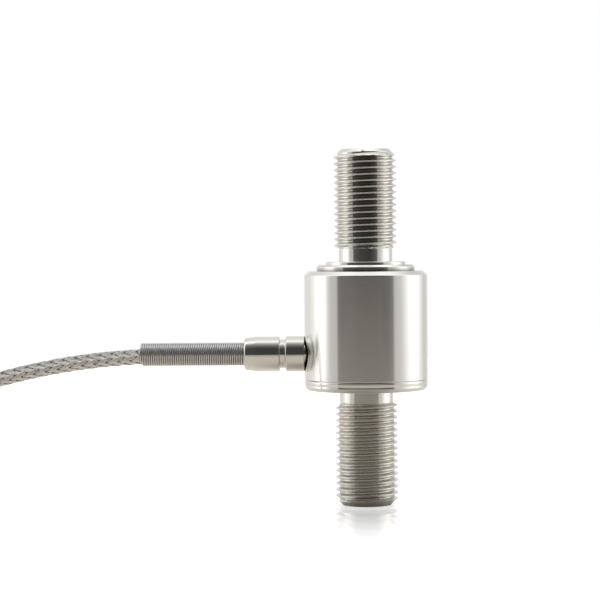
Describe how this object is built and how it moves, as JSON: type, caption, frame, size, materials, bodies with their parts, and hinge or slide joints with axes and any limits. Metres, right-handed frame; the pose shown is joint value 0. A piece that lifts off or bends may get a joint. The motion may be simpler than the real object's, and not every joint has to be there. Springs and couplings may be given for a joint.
{
  "type": "inline load cell",
  "caption": "Round stainless inline load cell with a threaded stud at each end and a side fitting with a spring strain relief and a braided cable, for measuring tension or compression.",
  "frame": {"origin": "centre of the lower stud's end face", "axes": "+Z along the load axis to the upper stud, -X along the cable's exit"},
  "size_m": [0.1685, 0.0282, 0.0721],
  "materials": {
    "turned_stainless": "turned and polished stainless steel",
    "polished_stainless": "fine turned and polished stainless steel",
    "spring_steel": "drawn stainless spring wire",
    "metal_braid": "tinned metal braid over the cores",
    "tie_nylon": "moulded natural polyamide",
    "shrink_sleeve": "heat-shrunk polyolefin",
    "ptfe_red": "extruded PTFE",
    "ptfe_black": "extruded PTFE",
    "ptfe_green": "extruded PTFE",
    "ptfe_white": "extruded PTFE",
    "tinned_copper": "tinned copper strands",
    "gauge_foil": "etched foil on polyimide",
    "glass_epoxy": "glass-epoxy laminate",
    "chip_body": "glazed chip",
    "solder": "solder",
    "copper_ribbon": "flat copper ribbon",
    "potting_epoxy": "cast epoxy",
    "ferrule_brass": "drawn brass"
  },
  "bodies": {
    "root": {"sensing_element": "turned_stainless", "top_diaphragm": "turned_stainless", "housing_sleeve": "polished_stainless", "cable_fitting": "polished_stainless", "strain_relief_spring": "spring_steel", "sensor_cable": "metal_braid", "cable_hank": "metal_braid", "cable_tail": "metal_braid", "hank_tie_front": "tie_nylon", "hank_tie_back": "tie_nylon", "end_sleeve": "shrink_sleeve", "lead_tips": "tinned_copper", "bridge_board": "glass_epoxy", "compensation_resistors": "chip_body", "solder_terminals": "solder", "gauge_wires": "copper_ribbon", "epoxy_plug": "potting_epoxy", "crimp_ferrule": "ferrule_brass", "strain_gauge_front": "gauge_foil", "strain_gauge_back": "gauge_foil", "strain_gauge_left": "gauge_foil", "strain_gauge_right": "gauge_foil", "lead_red": "ptfe_red", "inner_lead_red": "ptfe_red", "lead_black": "ptfe_black", "inner_lead_black": "ptfe_black", "lead_green": "ptfe_green", "inner_lead_green": "ptfe_green", "lead_white": "ptfe_white", "inner_lead_white": "ptfe_white"}
  },
  "joints": []
}
